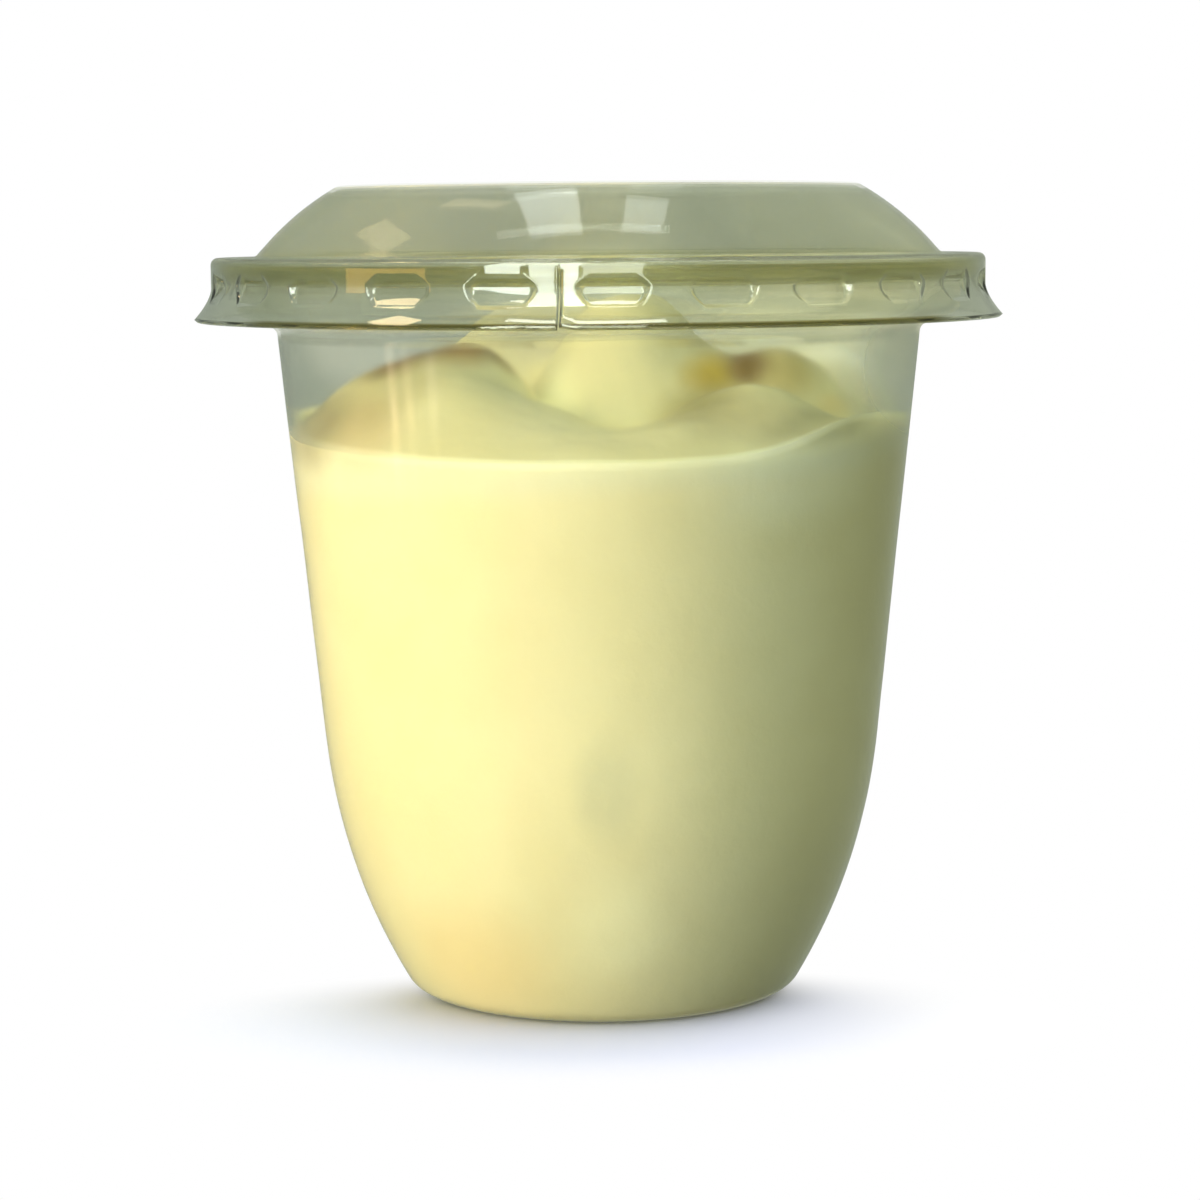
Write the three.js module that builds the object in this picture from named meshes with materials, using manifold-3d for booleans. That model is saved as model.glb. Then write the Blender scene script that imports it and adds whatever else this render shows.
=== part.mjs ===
// Coconut ice cream in a clear round-bottomed cup, shut with a clear press-on lid with a low flat dome.
// Millimetres, +Z up. The origin is the middle of the cup's flat base, on the surface it stands on.
// Angles round the cup are counted from -Y, its front, towards +X.
import * as THREE from 'three';
import * as BufferGeometryUtils from 'three/addons/utils/BufferGeometryUtils.js';
import Module from 'manifold-3d';

// Cup: a straight leaning wall above a rounded bowl, then a shoulder, a collar and a rolled rim.
const CUP = {
  sides: 48,
  thickness: 0.6,
  heelRadius: 3,
  heelLean: THREE.MathUtils.degToRad(30),
  bendHeight: 35,
  bendWallRadius: 36.25,
  lean: 0.102,
  bowlInset: 7.68,
  bowlPower: 2.3,
  wallTop: 85.4,
  shoulderFillet: 1.2,
  shoulderSlope: THREE.MathUtils.degToRad(18),
  collarFillet: 1.3,
  collarRadius: 46.5,
  collarTop: 92.5,
  rimRadius: 1.1,
  rimOuterRadius: 48.9,
  rimTop: 94.5,
};

// Lid: a flat top on a low dome, a shelf over the cup's rim, a band pressed with lugs, and a skirt.
const LID = {
  thickness: 0.5,
  height: 104.3,
  topRadius: 33,
  topCorner: 1.5,
  domeRadius: 37,
  domeStartSlope: THREE.MathUtils.degToRad(30),
  domeEndSlope: THREE.MathUtils.degToRad(48),
  shelfFillet: 1.2,
  shelfHeight: 95.3,
  shelfCorner: 0.9,
  bandRadius: 49.7,
  skirtStart: 91.4,
  skirtBottom: 87.5,
  skirtFlare: 2.2,
  skirtPower: 1.6,
};

// Lugs: flat-faced dents in the lid's band that catch under the cup's rim.
const LUG = {
  count: 24,
  firstAngle: THREE.MathUtils.degToRad(1.96),
  faceHalfAngle: THREE.MathUtils.degToRad(3.85),
  outerHalfAngle: THREE.MathUtils.degToRad(5.25),
  depth: 0.85,
  top: 92.9,
  deepest: 91.8,
  bottom: 89,
};

// A split in the lid's band, from the skirt's edge up to the shelf.
const SPLIT = { angle: THREE.MathUtils.degToRad(-5.1), width: 0.35, top: 94.2, depth: 6 };

// Ice cream: it fills the cup up to a wavy line on the wall, and mounds of it stand higher inside.
const ICE = {
  gap: 0.3,
  sideRings: 9,
  topRings: 11,
  heel: 4,
  plateau: 73.2,
  creaseSoftness: 1,
  wallFall: 12,
};

// The line on the wall is lowest near the front, and swells up at these places: angles in degrees.
const FILL = { front: 71.1, frontAngle: -10, backRise: 3.5 };
const SWELLS = [
  { name: 'left side', angle: -97, height: 2.4, rise: 22, fade: 10 },
  { name: 'right front', angle: 52, height: 3.9, rise: 11.5, fade: 25 },
  { name: 'right back', angle: 125, height: 8.5, rise: 15, fade: 25 },
];

// Each mound is a rounded cap: where its top is, how wide it is and how far it falls over that width.
const MOUNDS = [
  { name: 'left front lobe', x: -20, y: -19, wide: 14.5, long: 15, top: 81.6, fall: 9.5 },
  { name: 'left outer lobe', x: -28.5, y: -12, wide: 14, long: 13, top: 81, fall: 7 },
  { name: 'left ridge', x: -21.5, y: -12.5, wide: 8.5, long: 8, top: 82.4, fall: 6 },
  { name: 'left crest', x: -15.8, y: -12, wide: 7.5, long: 7, top: 84, fall: 6.5 },
  { name: 'left foot', x: -10.5, y: -24, wide: 12, long: 12, top: 77.7, fall: 6 },
  { name: 'front tail', x: 9, y: -29, wide: 16, long: 9, top: 74.2, fall: 2.5 },
  { name: 'tall middle', x: 4, y: 0, wide: 14, long: 17, top: 90.2, fall: 15.5 },
  { name: 'tall back', x: -5, y: 14, wide: 18, long: 11, top: 89.5, fall: 10 },
  { name: 'middle shoulder', x: 13, y: -3, wide: 10, long: 14, top: 83.2, fall: 9 },
  { name: 'right back lump', x: 22.5, y: -3, wide: 10.5, long: 12, top: 83, fall: 7.5 },
  { name: 'right front lump', x: 19, y: -21, wide: 12, long: 11, top: 79.4, fall: 6.5 },
  { name: 'back lobe', x: -6, y: 22, wide: 20, long: 12, top: 84, fall: 8 },
];

const PLASTIC = { color: 0xc4cdbb, roughness: 0.08, metalness: 0, transparent: true, opacity: 0.35 };
const CREAM = { color: 0xefe9ae, roughness: 0.55, metalness: 0 };

// ---------- outlines, as points of radius and height ----------

// Points on an arc of an outline, both ends included.
function arc(centreRadius, centreHeight, radius, fromAngle, toAngle, steps) {
  return Array.from({ length: steps + 1 }, (_, i) => {
    const angle = THREE.MathUtils.lerp(fromAngle, toAngle, i / steps);
    return new THREE.Vector2(
      centreRadius + radius * Math.cos(angle),
      centreHeight + radius * Math.sin(angle),
    );
  });
}

// The same outline moved to its left-hand side by a sheet's thickness, corners mitred.
function offsetOutline(points, distance) {
  return points.map((point, i) => {
    const before = points[Math.max(i - 1, 0)];
    const after = points[Math.min(i + 1, points.length - 1)];
    const into = point.clone().sub(before).normalize();
    const out = after.clone().sub(point).normalize();
    const along = into.clone().add(out).normalize();
    const cosHalf = i === 0 || i === points.length - 1 ? 1 : Math.max(along.dot(out), 0.5);
    return new THREE.Vector2(-along.y, along.x).multiplyScalar(distance / cosHalf).add(point);
  });
}

// A closed body of revolution about Z, with its seam and its points on the axis merged.
function revolve(outline, sides) {
  const body = new THREE.LatheGeometry(outline, sides);
  body.rotateX(Math.PI / 2);
  return weld(body);
}

function weld(geometry) {
  geometry.deleteAttribute('normal');
  geometry.deleteAttribute('uv');
  return BufferGeometryUtils.mergeVertices(geometry, 1e-4);
}

// ---------- cup ----------

function wallRadius(height) {
  const straight = CUP.bendWallRadius + CUP.lean * (height - CUP.bendHeight);
  const below = Math.max(0, CUP.bendHeight - height) / CUP.bendHeight;
  return straight - CUP.bowlInset * below ** CUP.bowlPower;
}

// The heel's arc is the same for the cup's two faces and the ice cream: only its radius changes.
function heelArc(inset, steps) {
  const topHeight = CUP.heelRadius * (1 - Math.sin(CUP.heelLean));
  const centre = wallRadius(topHeight) - CUP.heelRadius * Math.cos(CUP.heelLean);
  return arc(centre, CUP.heelRadius, CUP.heelRadius - inset, -Math.PI / 2, -CUP.heelLean, steps);
}

function wallPoints(from, to, steps, inset) {
  return Array.from({ length: steps }, (_, i) => {
    const height = THREE.MathUtils.lerp(from, to, (i + 1) / steps);
    return new THREE.Vector2(wallRadius(height) - inset, height);
  });
}

// From the base's middle, out and up the cup's outer face to the foot of the rolled rim.
function cupOuterOutline() {
  const heel = heelArc(0, 3);
  const wallAngle = Math.PI / 2 - Math.atan(CUP.lean);
  const slope = CUP.shoulderSlope;
  const fillet = CUP.shoulderFillet;
  const filletCentre = new THREE.Vector2(
    wallRadius(CUP.wallTop) + fillet * Math.sin(wallAngle),
    CUP.wallTop - fillet * Math.cos(wallAngle),
  );
  const shoulder = arc(
    filletCentre.x, filletCentre.y, fillet, wallAngle + Math.PI / 2, slope + Math.PI / 2, 3,
  );
  const shoulderEnd = shoulder[shoulder.length - 1];
  const turn = CUP.collarFillet;
  const turnRadius = CUP.collarRadius - turn;
  const turnStart = turnRadius + turn * Math.sin(slope);
  const turnHeight = shoulderEnd.y + (turnStart - shoulderEnd.x) * Math.tan(slope) + turn * Math.cos(slope);
  return [
    new THREE.Vector2(0, 0),
    ...heel,
    ...wallPoints(heel[3].y, CUP.bendHeight, 6, 0),
    ...wallPoints(CUP.bendHeight, CUP.wallTop, 2, 0).slice(0, 1),
    ...shoulder,
    ...arc(turnRadius, turnHeight, turn, slope - Math.PI / 2, 0, 2),
    new THREE.Vector2(CUP.collarRadius, CUP.collarTop),
  ];
}

function buildCup() {
  const outer = cupOuterOutline();
  const inner = offsetOutline(outer, CUP.thickness);
  inner[0].x = 0;
  const bead = CUP.rimRadius;
  const beadCentre = CUP.rimOuterRadius - bead;
  const rim = arc(beadCentre, CUP.rimTop - bead, bead, -Math.PI / 2, Math.PI / 2, 5);
  const innerTop = new THREE.Vector2(inner[inner.length - 1].x + bead / 2, CUP.rimTop);
  return revolve([...outer, ...rim, innerTop, ...inner.reverse()], CUP.sides);
}

// ---------- lid ----------

// From the top's middle, out and down the lid's outer face to the skirt's edge.
function lidOuterOutline() {
  const corner = LID.topCorner;
  const start = LID.domeStartSlope;
  const end = LID.domeEndSlope;
  const topArc = arc(LID.topRadius, LID.height - corner, corner, Math.PI / 2, Math.PI / 2 - start, 1);
  const domeCentre = topArc[1].clone().sub(
    new THREE.Vector2(Math.sin(start), Math.cos(start)).multiplyScalar(LID.domeRadius),
  );
  const dome = arc(domeCentre.x, domeCentre.y, LID.domeRadius, Math.PI / 2 - start, Math.PI / 2 - end, 4);
  const domeEnd = dome[dome.length - 1];
  const fillet = LID.shelfFillet;
  const filletDrop = domeEnd.y - LID.shelfHeight - fillet * (1 - Math.cos(end));
  const filletCentre = domeEnd.x + filletDrop / Math.tan(end) + fillet * Math.sin(end);
  const shelf = arc(
    filletCentre, LID.shelfHeight + fillet, fillet, -Math.PI / 2 - end, -Math.PI / 2, 2,
  );
  const edge = LID.shelfCorner;
  const shelfEdge = arc(LID.bandRadius - edge, LID.shelfHeight - edge, edge, Math.PI / 2, 0, 2);
  const band = [LUG.top, LUG.deepest, (LUG.deepest + LUG.bottom) / 2].map(
    (height) => new THREE.Vector2(skirtRadius(height), height),
  );
  const skirt = Array.from({ length: 3 }, (_, i) => {
    const height = THREE.MathUtils.lerp(LUG.bottom, LID.skirtBottom, i / 2);
    return new THREE.Vector2(skirtRadius(height), height);
  });
  return [
    new THREE.Vector2(0, LID.height),
    ...topArc,
    ...dome.slice(1),
    ...shelf,
    ...shelfEdge,
    ...band,
    ...skirt,
  ];
}

function skirtRadius(height) {
  const drop = Math.max(0, LID.skirtStart - height) / (LID.skirtStart - LID.skirtBottom);
  return LID.bandRadius + LID.skirtFlare * drop ** LID.skirtPower;
}

// How far a lug is pressed in at a height: nothing at its top and bottom, most near its top.
function lugDepth(height) {
  if (height >= LUG.deepest) {
    return LUG.depth * Math.max(0, (LUG.top - height) / (LUG.top - LUG.deepest));
  }
  return LUG.depth * Math.max(0, (height - LUG.bottom) / (LUG.deepest - LUG.bottom));
}

// Four edges of the round body fall on each lug: its face's two sides and its two outer sides.
function pressLugs(body) {
  const place = body.attributes.position;
  const pitch = (2 * Math.PI) / LUG.count;
  const sides = [-LUG.faceHalfAngle, LUG.faceHalfAngle, LUG.outerHalfAngle, pitch - LUG.outerHalfAngle];
  for (let i = 0; i < place.count; i += 1) {
    const radius = Math.hypot(place.getX(i), place.getY(i));
    const height = place.getZ(i);
    if (radius > 1e-3) {
      const turn = Math.atan2(place.getX(i), -place.getY(i)) + 2 * Math.PI;
      const step = Math.round(turn / (pitch / sides.length));
      const side = step % sides.length;
      const angle = LUG.firstAngle + Math.floor(step / sides.length) * pitch + sides[side];
      const isFace = side < 2;
      const onBand = radius > LID.bandRadius - 2 * LID.thickness;
      const pressed = radius - (isFace && onBand ? lugDepth(height) : 0);
      place.setXYZ(i, pressed * Math.sin(angle), -pressed * Math.cos(angle), height);
    }
  }
  return body;
}

// ---------- joining and cutting ----------

const wasm = await Module();
wasm.setup();

function toSolid(geometry) {
  return new wasm.Manifold(new wasm.Mesh({
    numProp: 3,
    vertProperties: new Float32Array(geometry.attributes.position.array),
    triVerts: new Uint32Array(geometry.index.array),
  }));
}

function toGeometry(solid) {
  const mesh = solid.getMesh();
  const geometry = new THREE.BufferGeometry();
  geometry.setAttribute('position', new THREE.BufferAttribute(mesh.vertProperties, 3));
  geometry.setIndex(new THREE.BufferAttribute(mesh.triVerts, 1));
  return geometry;
}

function splitBlade() {
  const bottom = LID.skirtBottom - 1;
  const blade = new THREE.BoxGeometry(SPLIT.width, SPLIT.depth, SPLIT.top - bottom);
  blade.translate(0, -LID.bandRadius, (SPLIT.top + bottom) / 2);
  blade.rotateZ(SPLIT.angle);
  return weld(blade);
}

function buildLid() {
  const outer = lidOuterOutline();
  const inner = offsetOutline(outer, -LID.thickness);
  inner[0].x = 0;
  const outline = [...outer, ...inner.reverse()].reverse();
  const shell = pressLugs(revolve(outline, LUG.count * 4));
  return toGeometry(toSolid(shell).subtract(toSolid(splitBlade())));
}

// ---------- ice cream ----------

// Height of the ice cream's line on the cup's wall, at an angle in degrees.
function fillHeight(angle) {
  const back = (1 - Math.cos(THREE.MathUtils.degToRad(angle - FILL.frontAngle))) / 2;
  const swelling = SWELLS.reduce((sum, swell) => {
    const away = THREE.MathUtils.euclideanModulo(angle - swell.angle + 180, 360) - 180;
    const width = away < 0 ? swell.rise : swell.fade;
    return sum + swell.height * Math.exp(-((away / width) ** 2) / 2);
  }, 0);
  return FILL.front + FILL.backRise * back + swelling;
}

// Height of the mounds' surface at a point, as if no wall held them in.
function moundHeight(x, y) {
  const heights = MOUNDS.map((mound) => {
    const across = (x - mound.x) / mound.wide;
    const along = (y - mound.y) / mound.long;
    return mound.top - mound.fall * (across ** 2 + along ** 2);
  });
  heights.push(ICE.plateau);
  const soft = ICE.creaseSoftness;
  return soft * Math.log(heights.reduce((sum, height) => sum + Math.exp((height - ICE.plateau) / soft), 0))
    + ICE.plateau;
}

// One ring of points for each level: the heel, the side up to the fill line, then the top inwards.
function iceRing(level, angle) {
  const inset = CUP.thickness + ICE.gap;
  const heel = heelArc(inset, ICE.heel);
  if (level <= ICE.heel) {
    return heel[level];
  }
  const fill = fillHeight(angle);
  const sideLevel = Math.min(level - ICE.heel, ICE.sideRings) / ICE.sideRings;
  const height = THREE.MathUtils.lerp(heel[ICE.heel].y, fill, sideLevel);
  const edge = wallRadius(height) - inset;
  const topLevel = level - ICE.heel - ICE.sideRings;
  if (topLevel <= 0) {
    return new THREE.Vector2(edge, height);
  }
  const reach = 1 - topLevel / (ICE.topRings + 1);
  const turn = THREE.MathUtils.degToRad(angle);
  const radius = edge * reach;
  const mound = moundHeight(radius * Math.sin(turn), -radius * Math.cos(turn));
  return new THREE.Vector2(radius, THREE.MathUtils.lerp(mound, fill, reach ** ICE.wallFall));
}

function buildIceCream() {
  const levels = ICE.heel + ICE.sideRings + ICE.topRings + 1;
  const outline = [new THREE.Vector2(0, CUP.thickness + ICE.gap)];
  for (let level = 0; level < levels; level += 1) {
    outline.push(new THREE.Vector2(1 + level, level));
  }
  outline.push(new THREE.Vector2(0, levels));
  const body = revolve(outline, CUP.sides);
  const place = body.attributes.position;
  for (let i = 0; i < place.count; i += 1) {
    const level = Math.round(place.getZ(i));
    const radius = Math.hypot(place.getX(i), place.getY(i));
    if (radius > 1e-3) {
      const turn = Math.atan2(place.getX(i), -place.getY(i));
      const ring = iceRing(level, THREE.MathUtils.radToDeg(turn));
      place.setXYZ(i, ring.x * Math.sin(turn), -ring.x * Math.cos(turn), ring.y);
    } else if (level === levels) {
      place.setXYZ(i, 0, 0, moundHeight(0, 0));
    }
  }
  return body;
}

// ---------- the whole object ----------

function addPiece(group, name, geometry, finish) {
  geometry.computeVertexNormals();
  const mesh = new THREE.Mesh(geometry, new THREE.MeshStandardMaterial(finish));
  mesh.name = name;
  group.add(mesh);
}

const iceCreamCup = new THREE.Group();
iceCreamCup.name = 'coconut_ice_cream_cup';
addPiece(iceCreamCup, 'cup', buildCup(), PLASTIC);
addPiece(iceCreamCup, 'lid', buildLid(), PLASTIC);
addPiece(iceCreamCup, 'ice_cream', buildIceCream(), CREAM);

export default iceCreamCup;
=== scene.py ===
"""Coconut ice cream in a clear lidded cup: the finish of every surface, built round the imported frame."""
import math

import bmesh
import bpy
import numpy as np
from mathutils import Matrix, Vector


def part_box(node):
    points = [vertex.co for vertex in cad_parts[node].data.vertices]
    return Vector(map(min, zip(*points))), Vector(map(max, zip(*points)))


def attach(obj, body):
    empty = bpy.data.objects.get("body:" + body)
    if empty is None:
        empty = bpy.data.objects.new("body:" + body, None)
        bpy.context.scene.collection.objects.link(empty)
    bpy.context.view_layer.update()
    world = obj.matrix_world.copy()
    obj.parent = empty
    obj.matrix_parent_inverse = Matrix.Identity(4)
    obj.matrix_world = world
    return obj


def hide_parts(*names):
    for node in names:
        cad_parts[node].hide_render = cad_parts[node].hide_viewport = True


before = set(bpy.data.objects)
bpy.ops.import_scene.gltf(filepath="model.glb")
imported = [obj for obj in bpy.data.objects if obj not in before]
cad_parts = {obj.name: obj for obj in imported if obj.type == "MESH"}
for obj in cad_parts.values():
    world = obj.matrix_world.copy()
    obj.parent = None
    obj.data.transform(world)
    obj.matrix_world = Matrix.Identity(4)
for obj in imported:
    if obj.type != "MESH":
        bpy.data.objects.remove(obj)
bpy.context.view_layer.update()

MM = 0.001

# ---------- sizes, in millimetres; angles in degrees, counted from the front (-Y) towards +X ----------

SHEET = 0.45
CUP_COLUMNS = 256
CUP_UNEVENNESS = 0.035

HEEL_RADIUS = 3.0
HEEL_LEAN = 30.0
BEND_HEIGHT = 35.0
BEND_WALL_RADIUS = 36.25
WALL_LEAN = 0.102
BOWL_INSET = 7.68
BOWL_POWER = 2.3
WALL_TOP = 85.4
SHOULDER_FILLET = 1.2
SHOULDER_SLOPE = 18.0
COLLAR_FILLET = 1.3
COLLAR_RADIUS = 46.5
CURL_RADIUS = 1.0
CURL_END = -140.0
RIM_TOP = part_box("cup")[1].z / MM
RIM_RADIUS = 48.9

LID_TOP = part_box("lid")[1].z / MM
TOP_RADIUS = 33.0
TOP_CORNER = 1.5
DOME_RADIUS = 37.0
DOME_START = 30.0
DOME_END = 48.0
SHELF_HEIGHT = 95.3
SHELF_FILLET = 1.2
SHELF_CORNER = 0.9
BAND_RADIUS = 49.7
SKIRT_START = 91.4
SKIRT_BOTTOM = 87.5
SKIRT_FLARE = 2.2
SKIRT_POWER = 1.6
DOME_UNEVENNESS = 0.02
TOP_SAG = 0.12

LUG_COUNT = 24
LUG_FIRST = 1.96
LUG_FACE = 4.1
LUG_OUTER = 4.95
LUG_ROUNDING = 0.3
LUG_DEPTH = 0.85
LUG_TOP = 93.4
LUG_DEEPEST = 92.1
LUG_BOTTOM = 89.8
LUG_SOFTNESS = 0.07

SPLIT_ANGLE = -5.1
SPLIT_WIDTH = 0.22
SPLIT_TOP = 94.2
SPLIT_LIFT = 0.3
SPLIT_LIFT_REACH = 1.2

ICE_SINK = 0.15
FILL_FRONT = 71.1
FILL_FRONT_ANGLE = -10.0
FILL_BACK_RISE = 3.5
PLATEAU = 73.2
CREASE_SOFTNESS = 1.8
WALL_FALL = 12.0
SWIRL_DEPTH = 0.25
SWIRL_LENGTH = 13.0
RIPPLE_DEPTH = 0.07
RIPPLE_LENGTH = 4.2
ICE_COLUMNS = 288
SIDE_RINGS = 70
TOP_RINGS = 90

# Swells of the line on the wall: angle, height, width before and width after it.
SWELLS = {
    "left_side": (-97, 2.4, 22, 10),
    "right_front": (52, 3.9, 11.5, 25),
    "right_back": (125, 8.5, 15, 25),
}

# Mounds of ice cream: x, y, half width, half length, top height, fall over the half width.
MOUNDS = {
    "left_front_lobe": (-20, -19, 14.5, 15, 81.6, 9.5),
    "left_outer_lobe": (-28.5, -12, 14, 13, 81, 7),
    "left_ridge": (-21.5, -12.5, 8.5, 8, 82.4, 6),
    "left_crest": (-15.8, -12, 7.5, 7, 84, 6.5),
    "left_foot": (-10.5, -24, 12, 12, 77.7, 6),
    "front_tail": (9, -29, 16, 9, 74.2, 2.5),
    "tall_middle": (4, 0, 14, 17, 90.2, 15.5),
    "tall_back": (-5, 14, 18, 11, 89.5, 10),
    "middle_shoulder": (13, -3, 10, 14, 83.2, 9),
    "right_back_lump": (22.5, -3, 10.5, 12, 83, 7.5),
    "right_front_lump": (19, -21, 12, 11, 79.4, 6.5),
    "back_lobe": (-6, 22, 20, 12, 84, 8),
}


# ---------- outlines: points of radius and height ----------

def arc(centre, radius, from_angle, to_angle, steps):
    turn = np.radians(np.linspace(from_angle, to_angle, steps + 1))
    return np.stack([centre[0] + radius * np.cos(turn), centre[1] + radius * np.sin(turn)], axis=1)


def straight(start, end, steps):
    """Points from start to end, without start."""
    share = np.linspace(0, 1, steps + 1)[1:, None]
    return np.array(start) * (1 - share) + np.array(end) * share


def offset_outline(points, distance):
    """The outline moved to its left-hand side, corners mitred."""
    step = np.diff(points, axis=0)
    step /= np.linalg.norm(step, axis=1)[:, None]
    into = np.vstack([step[:1], step])
    out = np.vstack([step, step[-1:]])
    along = into + out
    along /= np.linalg.norm(along, axis=1)[:, None]
    stretch = distance / np.maximum((along * out).sum(1), 0.5)
    return points + np.stack([-along[:, 1], along[:, 0]], axis=1) * stretch[:, None]


def wall_radius(height):
    below = np.maximum(0, BEND_HEIGHT - height) / BEND_HEIGHT
    return BEND_WALL_RADIUS + WALL_LEAN * (height - BEND_HEIGHT) - BOWL_INSET * below ** BOWL_POWER


HEEL_TOP = HEEL_RADIUS * (1 - math.sin(math.radians(HEEL_LEAN)))
HEEL_CENTRE = wall_radius(HEEL_TOP) - HEEL_RADIUS * math.cos(math.radians(HEEL_LEAN))


def heel_arc(inset, steps):
    return arc((HEEL_CENTRE, HEEL_RADIUS), HEEL_RADIUS - inset, -90, -HEEL_LEAN, steps)


def wall_points(low, high, steps):
    heights = np.linspace(low, high, steps + 1)[1:]
    return np.stack([wall_radius(heights), heights], axis=1)


def cup_outer_side():
    """From the base's middle, out and up the outer face, and round inside the rim's curl."""
    heel = heel_arc(0, 10)
    wall_angle = 90 - math.degrees(math.atan(WALL_LEAN))
    wall_turn = math.radians(wall_angle)
    fillet_centre = (
        wall_radius(WALL_TOP) + SHOULDER_FILLET * math.sin(wall_turn),
        WALL_TOP - SHOULDER_FILLET * math.cos(wall_turn),
    )
    shoulder = arc(fillet_centre, SHOULDER_FILLET, wall_angle + 90, SHOULDER_SLOPE + 90, 8)
    slope = math.radians(SHOULDER_SLOPE)
    turn_centre = COLLAR_RADIUS - COLLAR_FILLET
    run = turn_centre + COLLAR_FILLET * math.sin(slope) - shoulder[-1][0]
    turn_height = shoulder[-1][1] + run * math.tan(slope) + COLLAR_FILLET * math.cos(slope)
    collar_turn = arc((turn_centre, turn_height), COLLAR_FILLET, SHOULDER_SLOPE - 90, 0, 8)
    curl_centre = (RIM_RADIUS - SHEET / 2 - CURL_RADIUS, RIM_TOP - SHEET / 2 - CURL_RADIUS)
    curl = arc(curl_centre, CURL_RADIUS - SHEET / 2, 180, CURL_END, 24)
    collar_top = (COLLAR_RADIUS + 0.05, curl_centre[1] - 1.3)
    return np.vstack([
        [[0, 0]], straight((0, 0), heel[0], 6)[:-1], heel,
        wall_points(heel[-1][1], BEND_HEIGHT, 24),
        wall_points(BEND_HEIGHT, WALL_TOP, 16)[:-1],
        shoulder, collar_turn,
        straight(collar_turn[-1], collar_top, 3),
        straight(collar_top, curl[0], 3)[:-1],
        curl,
    ])


def skirt_radius(height):
    drop = np.maximum(0, SKIRT_START - height) / (SKIRT_START - SKIRT_BOTTOM)
    return BAND_RADIUS + SKIRT_FLARE * drop ** SKIRT_POWER


def lid_outer_side():
    """From the top's middle, out and down the outer face to the skirt's edge."""
    top_arc = arc((TOP_RADIUS, LID_TOP - TOP_CORNER), TOP_CORNER, 90, 90 - DOME_START, 6)
    start = math.radians(DOME_START)
    dome_centre = top_arc[-1] - DOME_RADIUS * np.array([math.sin(start), math.cos(start)])
    dome = arc(dome_centre, DOME_RADIUS, 90 - DOME_START, 90 - DOME_END, 14)
    end = math.radians(DOME_END)
    drop = dome[-1][1] - SHELF_HEIGHT - SHELF_FILLET * (1 - math.cos(end))
    fillet_centre = dome[-1][0] + drop / math.tan(end) + SHELF_FILLET * math.sin(end)
    fillet = arc((fillet_centre, SHELF_HEIGHT + SHELF_FILLET), SHELF_FILLET, -90 - DOME_END, -90, 6)
    edge = arc((BAND_RADIUS - SHELF_CORNER, SHELF_HEIGHT - SHELF_CORNER), SHELF_CORNER, 90, 0, 6)
    heights = np.concatenate([
        np.linspace(edge[-1][1], LUG_TOP, 4)[1:],
        np.linspace(LUG_TOP, LUG_DEEPEST, 6)[1:],
        np.linspace(LUG_DEEPEST, LUG_BOTTOM, 15)[1:],
        np.linspace(LUG_BOTTOM, SKIRT_BOTTOM, 8)[1:],
    ])
    return np.vstack([
        [[0, LID_TOP]], straight((0, LID_TOP), top_arc[0], 8)[:-1], top_arc, dome[1:],
        straight(dome[-1], fillet[0], 2)[:-1], fillet,
        straight(fillet[-1], edge[0], 3)[:-1], edge,
        np.stack([skirt_radius(heights), heights], axis=1),
    ])


# ---------- meshes ----------

def make_piece(name, points, faces):
    mesh = bpy.data.meshes.new(name)
    mesh.from_pydata((np.asarray(points) * MM).tolist(), [], [list(face) for face in faces])
    mesh.validate()
    mesh.update()
    mesh.polygons.foreach_set("use_smooth", [True] * len(mesh.polygons))
    piece = bpy.data.objects.new(name, mesh)
    bpy.context.scene.collection.objects.link(piece)
    return piece


def revolved(outline, angles, shape=None, skip=None):
    """Points and faces of an outline turned about Z through angles in degrees.

    shape(radius, height, angle) moves the points; skip(row, column) tells which quads are left open.
    An outline's ends on the axis become single points.
    """
    rows = len(outline)
    columns = len(angles)
    radius = np.repeat(outline[:, 0][:, None], columns, axis=1)
    height = np.repeat(outline[:, 1][:, None], columns, axis=1)
    angle = np.repeat(np.asarray(angles)[None, :], rows, axis=0)
    if shape:
        radius, height = shape(radius, height, angle)
    turn = np.radians(angle)
    grid = np.stack([radius * np.sin(turn), -radius * np.cos(turn), height], axis=2)
    points = grid.reshape(-1, 3)
    on_axis = outline[:, 0] < 1e-9
    faces = []
    for row in range(rows - 1):
        after = row + 1
        if on_axis[row] and on_axis[after]:
            continue
        for column in range(columns):
            beside = (column + 1) % columns
            if skip is not None and skip(row, column):
                continue
            low_left = row * columns + column
            low_right = row * columns + beside
            high_left = after * columns + column
            high_right = after * columns + beside
            if on_axis[row]:
                faces.append((row * columns, high_right, high_left))
            elif on_axis[after]:
                faces.append((low_left, low_right, after * columns))
            else:
                faces.append((low_left, low_right, high_right, high_left))
    return points, faces


def drop_loose_points(piece):
    """Removes points that no face uses, such as the spare ones on the axis, and turns faces outward."""
    used = np.zeros(len(piece.data.vertices), bool)
    for polygon in piece.data.polygons:
        used[list(polygon.vertices)] = True
    body = bmesh.new()
    body.from_mesh(piece.data)
    body.verts.ensure_lookup_table()
    bmesh.ops.delete(body, geom=[v for v in body.verts if not used[v.index]], context="VERTS")
    bmesh.ops.recalc_face_normals(body, faces=body.faces)
    body.to_mesh(piece.data)
    body.free()


def uneven(x, y, z, wavelength, seed):
    """Smooth random waves of about unit height, the same on every run."""
    draw = np.random.default_rng(seed)
    total = np.zeros(np.broadcast(x, y, z).shape)
    waves = 9
    for _ in range(waves):
        direction = draw.normal(size=3)
        direction *= draw.uniform(0.7, 1.5) * 2 * math.pi / (wavelength * np.linalg.norm(direction))
        start = draw.uniform(0, 2 * math.pi)
        total += np.sin(direction[0] * x + direction[1] * y + direction[2] * z + start)
    return total / math.sqrt(waves)


# ---------- cup and lid ----------

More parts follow.
